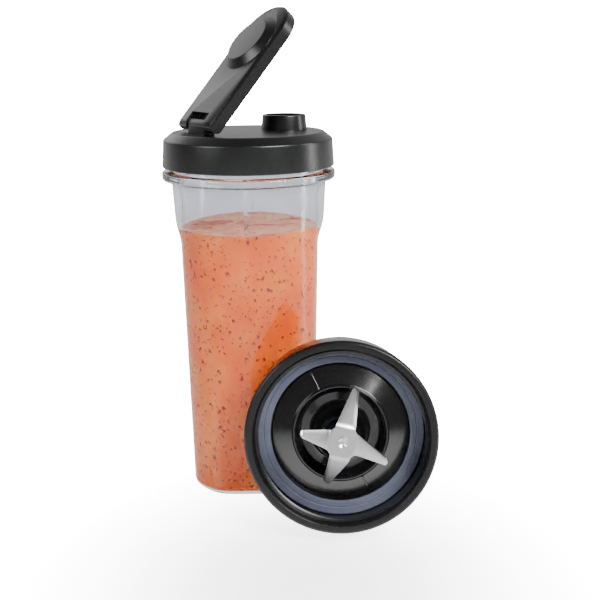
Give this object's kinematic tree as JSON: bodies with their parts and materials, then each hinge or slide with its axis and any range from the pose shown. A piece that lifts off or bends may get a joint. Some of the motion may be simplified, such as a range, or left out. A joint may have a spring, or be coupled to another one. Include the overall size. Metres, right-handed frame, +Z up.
{
  "type": "blender cup with flip-top lid and blade unit",
  "caption": "Clear personal blending cup holding a smoothie, with a black screw-on flip-top travel lid standing open and a separate screw-on blade unit leaning against the cup.",
  "frame": {"origin": "centre of the cup's flat base, on the table", "axes": "+Z up along the cup, -Y towards the front, where the blade unit leans; +X to the right"},
  "size_m": [0.1407, 0.1436, 0.2586],
  "materials": {
    "clear_plastic": "clear, polished",
    "drink": "opaque orange drink with dark specks",
    "black_satin": "satin black moulded plastic",
    "black_gloss": "polished black moulded plastic",
    "gasket_grey": "soft blue-grey silicone",
    "soft_black": "soft black silicone",
    "steel": "brushed stainless steel",
    "bronze": "sintered bronze"
  },
  "bodies": {
    "cup": {"cup_body": "clear_plastic", "smoothie": "drink"},
    "lid_lift": {"lid_gasket": "soft_black"},
    "lid": {"lid_shell": "black_satin", "hinge_pin": "steel"},
    "flip_cap": {"flip_cap_shell": "black_satin", "spout_plug": "soft_black"},
    "blade_unit": {"blade_collar": "black_satin", "blade_dish": "black_gloss", "cup_gasket": "gasket_grey", "base_cover": "black_satin", "base_screw_1": "steel", "base_screw_2": "steel", "base_screw_3": "steel", "bearing_lower": "bronze", "bearing_upper": "bronze", "bearing_spacer": "steel", "shaft_seal": "soft_black"},
    "blade_rotor": {"drive_shaft": "steel", "blade_cross": "steel", "blade_spacer": "steel", "drive_coupling": "black_satin", "retaining_clip": "steel"}
  },
  "joints": [
    {"name": "lid_rise", "type": "slide", "parent": "cup", "child": "lid_lift", "axis": [0, 0, 1], "range_m": [0, 0.01401]},
    {"name": "lid_turn", "type": "hinge", "parent": "lid_lift", "child": "lid", "pos_m": [0, 0, 0.19], "axis": [0, 0, 1], "range_deg": [0, 720]},
    {"name": "flip_cap_hinge", "type": "hinge", "parent": "lid", "child": "flip_cap", "pos_m": [-0.02306, -0.01498, 0.2002], "axis": [0.5446, -0.8387, 0], "range_deg": [-48, 120]},
    {"name": "blade_unit_slide", "type": "slide", "parent": "cup", "child": "blade_unit", "axis": [0, -1, 0], "range_m": [0, 0.1]},
    {"name": "blade_spin", "type": "hinge", "parent": "blade_unit", "child": "blade_rotor", "pos_m": [0.0465, -0.08379, 0.05472], "axis": [0, -0.9781, 0.2079], "continuous": true}
  ],
  "couplings": [
    {"joint": "lid_rise", "follows": "lid_turn", "m_per_rad": 0.0011141}
  ]
}
